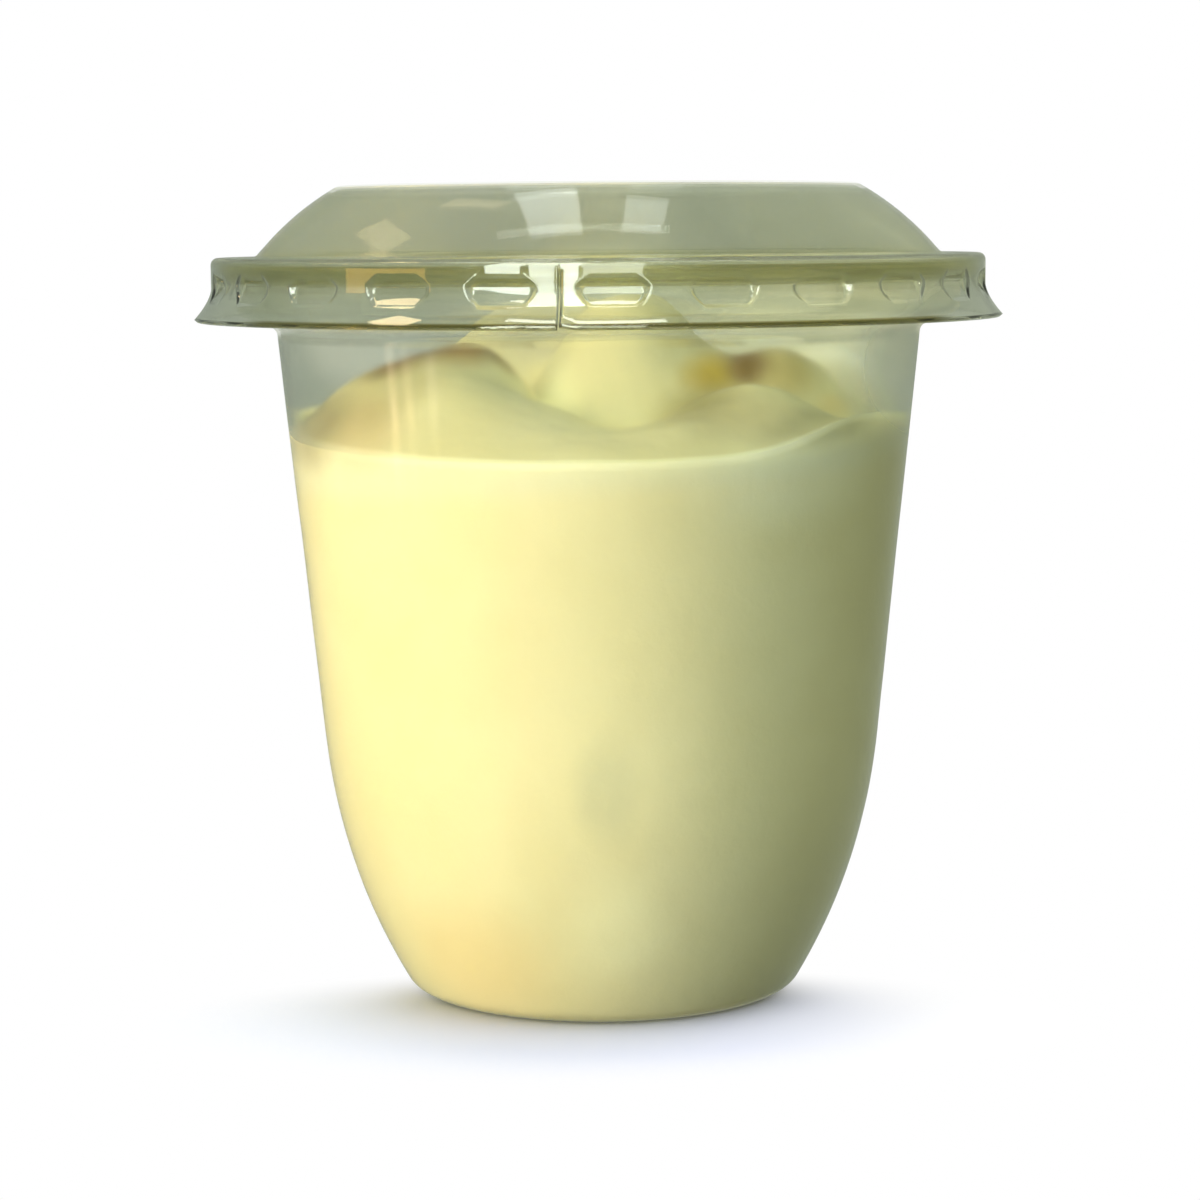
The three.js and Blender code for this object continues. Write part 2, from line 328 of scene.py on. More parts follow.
def formed_waviness(radius, height, angle, amount, seed):
    """Long and short waves of a formed sheet, drawn out along its height."""
    turn = np.radians(angle)
    x = radius * np.sin(turn)
    y = radius * np.cos(turn)
    return amount * (uneven(x, y, height * 0.6, 26, seed) + 0.4 * uneven(x, y, height, 9, seed + 1))


def cup_shape(radius, height, angle):
    """The formed wall is a little uneven, but true at the base and the rim."""
    share = np.clip((height - 4) / 20, 0, 1) * np.clip((WALL_TOP - height) / 15, 0, 1)
    return radius + share * formed_waviness(radius, height, angle, CUP_UNEVENNESS, 11), height


def build_cup():
    outer = cup_outer_side()
    inner = offset_outline(outer, SHEET)
    inner[0][0] = 0
    outline = np.vstack([outer, inner[::-1]])
    points, faces = revolved(outline, np.arange(CUP_COLUMNS) * 360 / CUP_COLUMNS, cup_shape)
    piece = make_piece("clear_cup", points, faces)
    drop_loose_points(piece)
    return piece


def lug_press(radius, height, angle):
    """How far the band is pressed in by its lugs."""
    pitch = 360 / LUG_COUNT
    away = np.abs((angle - LUG_FIRST + pitch / 2) % pitch - pitch / 2)
    above = (LUG_TOP - height) / (LUG_TOP - LUG_DEEPEST)
    below = (height - LUG_BOTTOM) / (LUG_DEEPEST - LUG_BOTTOM)
    share = np.clip(np.minimum(above, below), 0, 1)
    from_middle = (height - (LUG_TOP + LUG_BOTTOM) / 2) / ((LUG_TOP - LUG_BOTTOM) / 2)
    away = away / (1 - LUG_ROUNDING * np.minimum(from_middle ** 2, 1))
    ramp = LUG_DEPTH / (LUG_OUTER - LUG_FACE)
    press = LUG_DEPTH * share - ramp * np.maximum(0, away - LUG_FACE)
    press = LUG_SOFTNESS * np.logaddexp(0, press / LUG_SOFTNESS) * (share > 0)
    face = math.radians(LUG_FACE)
    chord = radius * (1 - math.cos(face) / np.cos(np.radians(np.minimum(away, LUG_FACE))))
    return press + np.clip(press / LUG_DEPTH, 0, 1) * chord


def lid_shape(radius, height, angle):
    """Presses in the lugs, lifts the skirt beside the split, and makes the dome and top a little uneven."""
    on_band = radius > BAND_RADIUS - 2 * SHEET
    moved = radius - np.where(on_band, lug_press(radius, height, angle), 0)
    away = (angle - SPLIT_ANGLE) % 360
    reach = away * math.radians(1) * BAND_RADIUS
    low = np.clip((LUG_BOTTOM - height) / (LUG_BOTTOM - SKIRT_BOTTOM), 0, 1)
    lift = np.where(on_band, SPLIT_LIFT * low * np.exp(-(reach / SPLIT_LIFT_REACH) ** 2), 0)
    dome = (height > SHELF_HEIGHT + 1) & (radius > TOP_RADIUS)
    wave = np.where(dome, formed_waviness(radius, height, angle, DOME_UNEVENNESS, 31), 0)
    top = (radius < TOP_RADIUS - 1) & (height > LID_TOP - 2)
    sag = np.where(top, -TOP_SAG * (1 - (radius / TOP_RADIUS) ** 2), 0)
    return moved + wave, height + lift + sag


def lid_angles():
    """Steps round the lid, close together at the lugs' sides, and the split's two edges."""
    inner_side = LUG_FACE * (1 - LUG_ROUNDING) - 0.1
    outer_side = LUG_OUTER + 0.3
    half_pitch = 180 / LUG_COUNT
    half = np.concatenate([
        np.linspace(0, inner_side, 4)[:-1], np.linspace(inner_side, outer_side, 14),
        np.linspace(outer_side, half_pitch, 3)[1:],
    ])
    lug = np.concatenate([-half[:0:-1], half[:-1]])
    steps = (LUG_FIRST + np.arange(LUG_COUNT)[:, None] * 2 * half_pitch + lug[None, :]).ravel()
    half_split = math.degrees(SPLIT_WIDTH / 2 / BAND_RADIUS)
    away = (steps - SPLIT_ANGLE + 180) % 360 - 180
    kept = steps[np.abs(away) > 2 * half_split]
    edges = [(SPLIT_ANGLE - half_split) % 360, (SPLIT_ANGLE + half_split) % 360]
    return np.sort(np.concatenate([kept % 360, edges])), edges[0]


def build_lid():
    outer = lid_outer_side()
    inner = offset_outline(outer, -SHEET)
    inner[0][0] = 0
    outline = np.vstack([outer, inner[::-1]])
    angles, split_edge = lid_angles()
    split_column = int(np.argmin(np.abs(angles - split_edge)))
    rows = len(outer)
    below_split = (outer[:, 0] > BAND_RADIUS - 0.01) & (outer[:, 1] < SPLIT_TOP)
    first = int(np.flatnonzero(below_split)[0])
    count = len(outline)

    def is_open(row, column):
        return column == split_column and first <= row < count - 1 - first

    points, faces = revolved(outline, angles, lid_shape, is_open)
    columns = len(angles)
    beside = (split_column + 1) % columns
    for row in range(first, rows - 1):
        mirrored = count - 1 - row
        for column in (split_column, beside):
            faces.append((
                row * columns + column, (row + 1) * columns + column,
                (mirrored - 1) * columns + column, mirrored * columns + column,
            ))
    mirrored = count - 1 - first
    faces.append((
        first * columns + split_column, first * columns + beside,
        mirrored * columns + beside, mirrored * columns + split_column,
    ))
    piece = make_piece("clear_lid", points, faces)
    drop_loose_points(piece)
    return piece


# ---------- ice cream ----------

def fill_height(angle):
    """Height of the ice cream's line on the cup's wall."""
    back = (1 - np.cos(np.radians(angle - FILL_FRONT_ANGLE))) / 2
    height = FILL_FRONT + FILL_BACK_RISE * back
    for middle, swell, rise, fade in SWELLS.values():
        away = (angle - middle + 180) % 360 - 180
        height = height + swell * np.exp(-((away / np.where(away < 0, rise, fade)) ** 2) / 2)
    return height


def mound_height(x, y):
    """Height of the mounds' surface, as if no wall held them in."""
    total = np.ones(x.shape)
    for middle_x, middle_y, wide, long, top, fall in MOUNDS.values():
        cap = top - fall * (((x - middle_x) / wide) ** 2 + ((y - middle_y) / long) ** 2)
        total += np.exp((cap - PLATEAU) / CREASE_SOFTNESS)
    return PLATEAU + CREASE_SOFTNESS * np.log(total)


def build_ice_cream():
    """Rings from the heel up the wall to the line, then inward over the mounds, which fall to the line."""
    inset = SHEET - ICE_SINK
    angles = np.arange(ICE_COLUMNS) * 360 / ICE_COLUMNS
    fill = fill_height(angles)
    heel = heel_arc(inset, 6)
    rings = [np.repeat(point[None, :], len(angles), axis=0) for point in heel]
    for share in np.linspace(0, 1, SIDE_RINGS + 1)[1:]:
        height = heel[-1][1] * (1 - share) + fill * share
        rings.append(np.stack([wall_radius(height) - inset, height], axis=1))
    edge = wall_radius(fill) - inset
    turn = np.radians(angles)
    for reach in (1 - np.linspace(0, 1, TOP_RINGS + 1)[1:-1] ** 1.15):
        radius = edge * reach
        x = radius * np.sin(turn)
        y = -radius * np.cos(turn)
        mound = mound_height(x, y)
        swirl = SWIRL_DEPTH * uneven(x, y, mound * 0.3, SWIRL_LENGTH, 5)
        mound += swirl + RIPPLE_DEPTH * uneven(x, y, mound * 0.5, RIPPLE_LENGTH, 6)
        hold = reach ** WALL_FALL
        rings.append(np.stack([radius, mound * (1 - hold) + fill * hold], axis=1))
    grid = np.array(rings)
    count = len(angles)
    points = np.stack([
        grid[:, :, 0] * np.sin(turn), -grid[:, :, 0] * np.cos(turn), grid[:, :, 1],
    ], axis=2).reshape(-1, 3)
    foot = len(points)
    crown = foot + 1
    middle = mound_height(np.array([0.0]), np.array([0.0]))[0]
    points = np.vstack([points, [[0, 0, heel[0][1]]], [[0, 0, middle]]])
    faces = []
    for row in range(len(rings) - 1):
        for column in range(count):
            beside = (column + 1) % count
            faces.append((
                row * count + column, row * count + beside,
                (row + 1) * count + beside, (row + 1) * count + column,
            ))
    last = (len(rings) - 1) * count
    for column in range(count):
        beside = (column + 1) % count
        faces.append((foot, beside, column))
        faces.append((last + column, last + beside, crown))
    return make_piece("ice_cream_scooped", points, faces)


# ---------- finishes ----------

def add_node(tree, kind, inputs=None, **options):
    """Adds a node. Its inputs are given by name or place, as sockets to link or as plain values."""
    node = tree.nodes.new(kind)
    for option, value in options.items():
        setattr(node, option, value)
    for key, value in (inputs or {}).items():
        if isinstance(value, bpy.types.NodeSocket):
            tree.links.new(value, node.inputs[key])
        else:
            node.inputs[key].default_value = value
    return node


def math_node(tree, operation, *values):
    return add_node(tree, "ShaderNodeMath", dict(enumerate(values)), operation=operation).outputs["Value"]


def fade_between(tree, value, start, end, full=1):
    """A smooth rise from 0 at start to full at end."""
    fade = add_node(tree, "ShaderNodeMapRange", {
        "Value": value, "From Min": start, "From Max": end, "To Max": full,
    }, interpolation_type="SMOOTHSTEP")
    return fade.outputs["Result"]


def ramp_along(tree, value, stops, unit=MM):
    """A colour that changes along a value, through stops. Their places are in millimetres, or in unit."""
    low, high = stops[0][0], stops[-1][0]
    rise = add_node(tree, "ShaderNodeMapRange", {
        "Value": value, "From Min": low * unit, "From Max": high * unit,
    })
    ramp = add_node(tree, "ShaderNodeValToRGB", {"Fac": rise.outputs["Result"]})
    elements = ramp.color_ramp.elements
    for place, _ in stops[1:-1]:
        elements.new((place - low) / (high - low))
    for element, (_, colour) in zip(elements, stops):
        element.color = (*colour, 1)
    return ramp.outputs["Color"]


def blend(tree, kind, share, colour, other):
    """A colour blended with another one, by a share from 0 to 1."""
    mixed = add_node(tree, "ShaderNodeMix", {
        "Factor": share, 6: colour, 7: (*other, 1),
    }, data_type="RGBA", blend_type=kind)
    return mixed.outputs[2]


def mix_shaders(tree, share, first, second):
    return add_node(tree, "ShaderNodeMixShader", {"Fac": share, 1: first, 2: second}).outputs["Shader"]


def away_from(tree, place, middle, half_sizes, tilt=0):
    """How far a place is from the middle of an ellipsoid: 0 in its middle and 1 on its edge."""
    patch = add_node(tree, "ShaderNodeMapping", {
        "Vector": place,
        "Location": [value * MM for value in middle],
        "Rotation": (0, -math.radians(tilt), 0),
        "Scale": [value * MM for value in half_sizes],
    }, vector_type="TEXTURE")
    away = add_node(tree, "ShaderNodeVectorMath", {0: patch.outputs["Vector"]}, operation="LENGTH")
    return away.outputs["Value"]


def new_material(name):
    """A material with its node tree, main shader and output, and the place of the shaded point."""
    material = bpy.data.materials.new(name)
    material.use_nodes = True
    tree = material.node_tree
    place = add_node(tree, "ShaderNodeTexCoord").outputs["Object"]
    return material, tree, tree.nodes["Principled BSDF"], tree.nodes["Material Output"], place


def formed_sheet_group():
    """Clear formed sheet: faint waves and stretch marks, with haze and a cloudy tint that vary over it."""
    group = bpy.data.node_groups.new("formed_clear_sheet", "ShaderNodeTree")
    for name, direction in (
        ("Wave Size", "INPUT"), ("Haze Low", "INPUT"), ("Haze High", "INPUT"),
        ("Haze", "OUTPUT"), ("Cloud", "OUTPUT"), ("Wave Height", "OUTPUT"),
    ):
        group.interface.new_socket(name=name, in_out=direction, socket_type="NodeSocketFloat")
    entry = add_node(group, "NodeGroupInput")
    place = add_node(group, "ShaderNodeTexCoord").outputs["Object"]
    stretch = add_node(group, "ShaderNodeMapping", {"Vector": place, "Scale": (1, 1, 0.25)})
    waves = add_node(group, "ShaderNodeTexNoise", {
        "Vector": stretch.outputs["Vector"], "Scale": entry.outputs["Wave Size"], "Detail": 3,
    })
    haze = add_node(group, "ShaderNodeTexNoise", {"Vector": place, "Scale": 60, "Detail": 4})
    spread = add_node(group, "ShaderNodeMapRange", {
        "Value": haze.outputs["Fac"], "From Min": 0.3, "From Max": 0.7,
        "To Min": entry.outputs["Haze Low"], "To Max": entry.outputs["Haze High"],
    })
    cloud = add_node(group, "ShaderNodeTexNoise", {"Vector": place, "Scale": 42, "Detail": 2})
    thin = add_node(group, "ShaderNodeMapRange", {
        "Value": cloud.outputs["Fac"], "From Min": 0.35, "From Max": 0.65,
    })
    add_node(group, "NodeGroupOutput", {
        "Haze": spread.outputs["Result"],
        "Cloud": thin.outputs["Result"],
        "Wave Height": waves.outputs["Fac"],
    })
    return group


SHEET_GROUP = formed_sheet_group()
SHEET_INDEX = 1.5
WAVE_STRENGTH = 0.2
WAVE_DEPTH = 0.4
SMEAR_CORE = 0.45
LET_THROUGH = (0.93, 0.94, 0.91)


def with_shaded_edge(tree, tint, parts, edge):
    """The tint with a painted dark line of shade along the front of a lower edge, where light bends at it.
    """
    top, forward, colour = edge
    low = fade_between(tree, parts.outputs["Z"], (top + 0.06) * MM, (top - 0.06) * MM)
    in_front = fade_between(tree, parts.outputs["Y"], (forward + 3) * MM, (forward - 3) * MM)
    return blend(tree, "MIX", math_node(tree, "MULTIPLY", low, in_front), tint, colour)


def with_flat_top(tree, calmness, height, flat_top):
    """The calmness, raised where a flat top is seen from above."""
    inner, outer, share = flat_top
    backfacing = add_node(tree, "ShaderNodeNewGeometry").outputs["Backfacing"]
    in_top = fade_between(tree, height, (inner - 0.05) * MM, (inner + 0.05) * MM)
    on_top = fade_between(tree, height, (outer - 0.05) * MM, (outer + 0.05) * MM)
    either = math_node(tree, "MAXIMUM", on_top, math_node(tree, "MULTIPLY", in_top, backfacing))
    return math_node(tree, "MAXIMUM", calmness, math_node(tree, "MULTIPLY", either, share))


def with_smears(tree, seen, place, smears):
    """What is seen, with faint smears of ice cream over it."""
    for middle, half_sizes, strength, colour, glows in smears:
        away = away_from(tree, place, middle, half_sizes)
        kind = "ShaderNodeBsdfTranslucent" if glows else "ShaderNodeBsdfDiffuse"
        smear = add_node(tree, kind, {"Color": (*colour, 1)})
        share = fade_between(tree, away, 1, SMEAR_CORE, strength)
        seen = mix_shaders(tree, share, seen, smear.outputs["BSDF"])
    return seen


def clear_sheet(name, tints, calm, wave_size, haze, cloud, smears=(), edge=None, flat_top=None):
    """Clear plastic. Lamps and scattered light pass straight through it to the ice cream.

    tints and calm are stops by height: the plastic's tint, and how much of it is seen straight through
    without bending. haze is its least and greatest roughness, and cloud the tint of its cloudiest spots.
    smears are faint smears of ice cream on the inside: place and half sizes, strength, colour, and whether
    light from behind shows in them. edge is a painted dark line of shade along the front of a lower edge:
    its height, how far forward it starts and its tint. flat_top is a top that mirrors little from above:
    heights just below its inner and its outer face, and how much of it is then seen straight through.
    """
    material, tree, surface, output, place = new_material(name)
    parts = add_node(tree, "ShaderNodeSeparateXYZ", {"Vector": place})
    height = parts.outputs["Z"]
    finish = add_node(tree, "ShaderNodeGroup", {
        "Wave Size": wave_size, "Haze Low": haze[0], "Haze High": haze[1],
    }, node_tree=SHEET_GROUP)
    tint = blend(tree, "MULTIPLY", finish.outputs["Cloud"], ramp_along(tree, height, tints), cloud)
    if edge:
        # Painted shade: a dark line along the front of the lower edge.
        tint = with_shaded_edge(tree, tint, parts, edge)
    bump = add_node(tree, "ShaderNodeBump", {
        "Strength": WAVE_STRENGTH, "Distance": WAVE_DEPTH * MM, "Height": finish.outputs["Wave Height"],
    })
    surface.distribution = "GGX"
    surface.inputs["IOR"].default_value = SHEET_INDEX
    surface.inputs["Transmission Weight"].default_value = 1
    tree.links.new(tint, surface.inputs["Base Color"])
    tree.links.new(finish.outputs["Haze"], surface.inputs["Roughness"])
    tree.links.new(bump.outputs["Normal"], surface.inputs["Normal"])
    half_tint = add_node(tree, "ShaderNodeGamma", {"Color": tint, "Gamma": 0.5})
    unbent = add_node(tree, "ShaderNodeBsdfTransparent", {"Color": half_tint.outputs["Color"]})
    calmness = ramp_along(tree, height, [(stop, (share, share, share)) for stop, share in calm])
    if flat_top:
        calmness = with_flat_top(tree, calmness, height, flat_top)
    seen = mix_shaders(tree, calmness, surface.outputs["BSDF"], unbent.outputs["BSDF"])
    seen = with_smears(tree, seen, place, smears)
    straight_through = add_node(tree, "ShaderNodeBsdfTransparent", {"Color": (*LET_THROUGH, 1)})
    path = add_node(tree, "ShaderNodeLightPath")
    light = math_node(tree, "MAXIMUM", path.outputs["Is Shadow Ray"], path.outputs["Is Diffuse Ray"])
    whole = mix_shaders(tree, light, seen, straight_through.outputs["BSDF"])
    tree.links.new(whole, output.inputs["Surface"])
    return material


# Soft patches that multiply the ice cream's colour. Many are painted shade (darker patches in creases and
# hollows, on the left lump, the back mound, along the line on the wall and down the right side) or painted
# light (lighter patches in creases and on a flank); the rest give tan, amber, grey and warm tones. Each has
# its place and half sizes in millimetres, how far the patch's right end is tilted up in degrees, then what
# the colour is multiplied with in the patch's middle.
PATCHES = {
    "tan_crest": ((-16.5, -14, 85), (10.5, 11, 4.6), 6, (0.37, 0.23, 0.08)),
    "tan_crest_left": ((-26, -14, 82.8), (9, 11, 3.6), 14, (0.38, 0.25, 0.11)),
    "tan_crest_end": ((-11.5, -13, 82.6), (4.5, 9, 2), -38, (0.60, 0.50, 0.36)),
    # Painted shade at the left lump's outer edge.
    "painted_shade_left_edge": ((-36, -14, 75), (8, 18, 8), 0, (0.54, 0.50, 0.44)),
    "grey_left_end": ((-38, -3, 77), (7, 12, 5), 0, (0.58, 0.62, 0.70)),
    # Painted shade on the left lump's front slope.
    "painted_shade_left_slope": ((-27, -19, 78), (13, 13, 6), 18, (0.76, 0.73, 0.66)),
    "warm_left_foot": ((-28, -24, 74), (9, 12, 6), 0, (0.90, 0.82, 0.78)),
    # Painted light in the crease between the left lump and the tall mound.
    "painted_light_valley": ((-9, -11, 78.5), (9, 11, 8), 0, (1.36, 1.34, 1.34)),
    # Painted shade on the back mound.
    "painted_shade_back": ((-8, 10, 85), (10, 14, 8), 0, (0.66, 0.68, 0.84)),
    # Painted light in the fold low in front.
    "painted_light_fold": ((-1, -23, 74), (13, 9, 5), -6, (1.24, 1.2, 1.14)),
    # Painted shade in the hollow between the right mounds, tinted brown.
    "painted_shade_brown_hollow": ((18.8, -6, 80.4), (4.8, 10, 5.6), 0, (0.25, 0.15, 0.01)),
    "amber_hollow": ((14, -8, 80), (6, 11, 4), 0, (0.74, 0.58, 0.12)),
    "tan_lump": ((23.6, -7, 80), (7, 12, 6), 0, (0.66, 0.60, 0.42)),
    # Painted shade in the saddle and at the right foot below it.
    "painted_shade_saddle": ((13, -18, 75.6), (8, 14, 7), 20, (0.52, 0.50, 0.36)),
    "painted_shade_right_foot": ((15, -25, 73.6), (14, 11, 7), 0, (0.62, 0.60, 0.56)),
    # Painted light on the right mound's flank, which faces away from the lamps.
    "painted_light_right_flank": ((28.5, -7, 78.5), (6, 11, 6), 0, (1.16, 1.16, 1.14)),
    # Painted shade over the highlight along the line on the wall at the right.
    "painted_shade_right_line": ((27, -28, 74.8), (14, 14, 3.2), 12, (0.66, 0.66, 0.64)),
    "amber_edge": ((30, -12, 76.4), (4, 8, 2), 0, (1.0, 0.90, 0.76)),
    "grey_smear": ((34, 22, 84), (18, 18, 14), 0, (0.74, 0.79, 1.06)),
    # Paler and bluer low on the right, under the line on the wall.
    "paler_bluer_right": ((23, -31, 68.6), (21, 15, 8), 0, (1.09, 1.12, 1.26)),
    "grey_blotch": ((0.6, -36, 31), (5.5, 9, 9.5), 0, (0.86, 0.88, 0.90)),
    "light_foot": ((1.5, -31, 13), (9, 9, 11), 0, (1.09, 1.12, 1.18)),
    "warm_foot": ((-16, -24, 8), (14, 16, 13), 0, (1.0, 0.92, 0.84)),
    # Painted shade down the cup's right side.
    "painted_shade_right_edge": ((41, -14, 52), (14, 24, 42), 0, (0.90, 0.89, 0.80)),
}
PATCH_CORE = 0.25
WANDER = 1.2

LIGHT_DEPTH = (6.0, 5.4, 3.0)
BOWL_HEIGHT = 55.0
WALL_CONTACT = (-1.3, -0.7)
CREAM_DEEP = (0.86, 0.82, 0.39)
CREAM_PALE = (0.93, 0.90, 0.46)
OPEN_SURFACE_SHADE = (0.80, 0.80, 0.79)
PALE_BAND_TINT = (0.96, 1.0, 1.14)
PALE_BAND_START = 66.0
PALE_BAND_END = 70.0
PALE_BAND_LEAN = 0.06


def ice_cream_material():
    """Pale yellow ice cream, paler and bluer near the top of where it touches the cup; where it lies open
    it is darker, as painted shade, and soft patches paint shade and light on it.
    """
    material, tree, surface, _, place = new_material("coconut_ice_cream")
    surface.subsurface_method = "BURLEY"
    surface.inputs["Roughness"].default_value = 0.5
    surface.inputs["Subsurface Weight"].default_value = 0.75
    surface.inputs["Subsurface Radius"].default_value = [depth * MM for depth in LIGHT_DEPTH]
    surface.inputs["Subsurface Scale"].default_value = 1
    parts = add_node(tree, "ShaderNodeSeparateXYZ", {"Vector": place})
    height = parts.outputs["Z"]
    blotch = add_node(tree, "ShaderNodeTexNoise", {
        "Vector": place, "Scale": 45, "Detail": 3, "Roughness": 0.6,
    })
    ramp = add_node(tree, "ShaderNodeValToRGB", {"Fac": blotch.outputs["Fac"]})
    for element, position, colour in zip(ramp.color_ramp.elements, (0.3, 0.7), (CREAM_DEEP, CREAM_PALE)):
        element.position = position
        element.color = (*colour, 1)
    colour = ramp.outputs["Color"]

    # How far a point stands inside the straight wall tells the open surface from the wall's.
    flat = add_node(tree, "ShaderNodeVectorMath", {0: place, 1: (1, 1, 0)}, operation="MULTIPLY")
    reach = add_node(tree, "ShaderNodeVectorMath", {0: flat.outputs["Vector"]}, operation="LENGTH")
    wall_foot = (BEND_WALL_RADIUS - WALL_LEAN * BEND_HEIGHT) * MM
    wall = math_node(tree, "MULTIPLY_ADD", height, WALL_LEAN, wall_foot)
    inside = math_node(tree, "SUBTRACT", reach.outputs["Value"], wall)
    touching = fade_between(tree, inside, WALL_CONTACT[0] * MM, WALL_CONTACT[1] * MM)
    in_bowl = math_node(tree, "LESS_THAN", height, BOWL_HEIGHT * MM)
    touching = math_node(tree, "MAXIMUM", touching, in_bowl)
    lying_open = math_node(tree, "SUBTRACT", 1.0, touching)
    # Paler and bluer towards the top of where the ice cream touches the wall; the band's start leans across
    # the cup.
    pale_band_height = math_node(tree, "MULTIPLY_ADD", parts.outputs["X"], -PALE_BAND_LEAN, height)
    pale_band = fade_between(tree, pale_band_height, PALE_BAND_START * MM, PALE_BAND_END * MM)
    # Painted shade: where the ice cream lies open under the lid, its colour is darkened.
    colour = blend(tree, "MULTIPLY", lying_open, colour, OPEN_SURFACE_SHADE)
    colour = blend(tree, "MULTIPLY", math_node(tree, "MULTIPLY", touching, pale_band), colour, PALE_BAND_TINT)

    # The patches' edges wander, as in swirled ice cream.
    wander = add_node(tree, "ShaderNodeTexNoise", {"Vector": place, "Scale": 110, "Detail": 2})
    swing = add_node(tree, "ShaderNodeVectorMath", {
        0: wander.outputs["Color"], 1: [2 * WANDER * MM] * 3, 2: [-WANDER * MM] * 3,
    }, operation="MULTIPLY_ADD")
    moved = add_node(tree, "ShaderNodeVectorMath", {0: place, 1: swing.outputs["Vector"]})
    for middle, half_sizes, tilt, other in PATCHES.values():
        away = away_from(tree, moved.outputs["Vector"], middle, half_sizes, tilt)
        colour = blend(tree, "MULTIPLY", fade_between(tree, away, 1, PATCH_CORE), colour, other)
    tree.links.new(colour, surface.inputs["Base Color"])

    grain = add_node(tree, "ShaderNodeTexNoise", {"Vector": place, "Scale": 700, "Detail": 5})
    bump = add_node(tree, "ShaderNodeBump", {
        "Strength": 0.25, "Distance": 0.3 * MM, "Height": grain.outputs["Fac"],
    })
    tree.links.new(bump.outputs["Normal"], surface.inputs["Normal"])
    return material


# ---------- stage, lamps and camera ----------

def build_floor():
    rings = np.concatenate([np.linspace(0, 200, 21), np.linspace(230, 900, 12)])
    outline = np.stack([rings, np.zeros(len(rings))], axis=1)
    points, faces = revolved(outline, np.arange(96) * 3.75)
    floor = make_piece("pale_floor", points, faces)
    drop_loose_points(floor)
    floor.data.materials.append(floor_material())
    floor.visible_transmission = False
    floor.visible_glossy = False
    return floor


# From left to right: the floor evens out the yellow light that the ice cream throws on it.
FLOOR_TINTS = (
    (-60, (0.80, 0.84, 1.0)), (-10, (0.77, 0.79, 1.0)), (15, (0.81, 0.81, 1.0)), (45, (0.90, 0.87, 0.92)),
)
SHADOW_MIDDLE = (0, -24, 0)
SHADOW_HALF_SIZES = (60, 30, 1000)


def floor_material():
    """A pale matt floor that runs out into plain white round the object."""
    material, tree, surface, output, place = new_material("pale_floor")
    surface.inputs["Roughness"].default_value = 0.9
    surface.inputs["Specular IOR Level"].default_value = 0
    parts = add_node(tree, "ShaderNodeSeparateXYZ", {"Vector": place})
    tree.links.new(ramp_along(tree, parts.outputs["X"], FLOOR_TINTS), surface.inputs["Base Color"])
    away = away_from(tree, place, SHADOW_MIDDLE, SHADOW_HALF_SIZES)
    white = add_node(tree, "ShaderNodeEmission", {"Color": (1, 1, 1, 1)})
    grey = add_node(tree, "ShaderNodeBsdfDiffuse", {"Color": (0.15, 0.15, 0.15, 1)})
    path = add_node(tree, "ShaderNodeLightPath")
    fade = fade_between(tree, away, 0.45, 1)
    seen = mix_shaders(tree, fade, surface.outputs["BSDF"], white.outputs["Emission"])
    whole = mix_shaders(tree, path.outputs["Is Camera Ray"], grey.outputs["BSDF"], seen)
    tree.links.new(whole, output.inputs["Surface"])
    return material


# Soft panels round the object. Azimuth is counted from the front towards +X and elevation from level, in
# degrees; then the distance and the two sizes in metres, the power in watts and the colour.
LAMPS = {
    "left_lamp": (-60, 15, 0.8, (0.3, 0.4), 5.0, (1.0, 0.71, 0.43)),
    "front_left_window": (-32, 20, 0.8, (0.4, 0.3), 3.7, (0.7, 0.77, 1.0)),
    "glow_from_table": (-54, -33, 0.8, (0.25, 0.25), 1.55, (1.0, 0.91, 0.86)),
    "back_light": (178, 4, 0.9, (0.6, 0.4), 4.4, (1.0, 0.89, 0.73)),
    "ceiling_light": (18, 69, 0.8, (0.3, 0.3), 1.5, (1.0, 0.98, 0.9)),
}
# Windows, lamps and a warm wall that only gleam in the clear plastic, with values as above.
GLEAMS = {
    "window_pane_left": (-26.5, 21, 0.9, (0.155, 1.05), 8.6, (0.92, 1.0, 0.90)),
    "window_pane_middle": (-15.8, 21, 0.9, (0.11, 1.05), 5.5, (0.92, 1.0, 0.90)),
    "window_pane_right": (-8, 21, 0.9, (0.085, 1.05), 5.6, (0.92, 1.0, 0.90)),
    "window_curtained": (4, 21, 0.9, (0.27, 1.05), 7.6, (0.92, 1.0, 0.88)),
    "window_top": (-9, 74, 1.0, (0.5, 0.06), 1.1, (0.97, 1.0, 0.95)),
    "amber_wall": (-62, 2, 0.9, (0.42, 0.1), 0.58, (1.0, 0.58, 0.14)),
    "amber_lamp_high": (-88, 56, 0.9, (0.17, 0.10), 0.65, (1.0, 0.76, 0.42)),
    "amber_strip_left": (-77.5, -10.2, 0.9, (0.035, 0.032), 0.034, (1.0, 0.80, 0.55)),
    "amber_strip_middle": (-70.5, -10.3, 0.9, (0.035, 0.034), 0.028, (1.0, 0.80, 0.55)),
    "amber_strip_right": (-60, -10.2, 0.9, (0.035, 0.032), 0.038, (1.0, 0.84, 0.64)),
    "far_pane": (61.9, -10.15, 0.93, (0.225, 0.0065), 0.007, (0.92, 0.86, 1.0)),
    "ceiling_pane_left": (-147.4, 76.3, 1.0, (0.155, 0.48), 0.52, (0.95, 1.0, 0.98)),
    "ceiling_pane_right": (140.9, 78.1, 1.0, (0.12, 0.36), 0.22, (0.95, 1.0, 0.98)),
    "ceiling_amber": (-142, 62, 1.0, (0.07, 0.2), 0.05, (1.0, 0.84, 0.5)),
}
FLOOR_LAMP = (80, 80, 1.1, (1.2, 1.2), 20, (0.97, 0.98, 1.0))


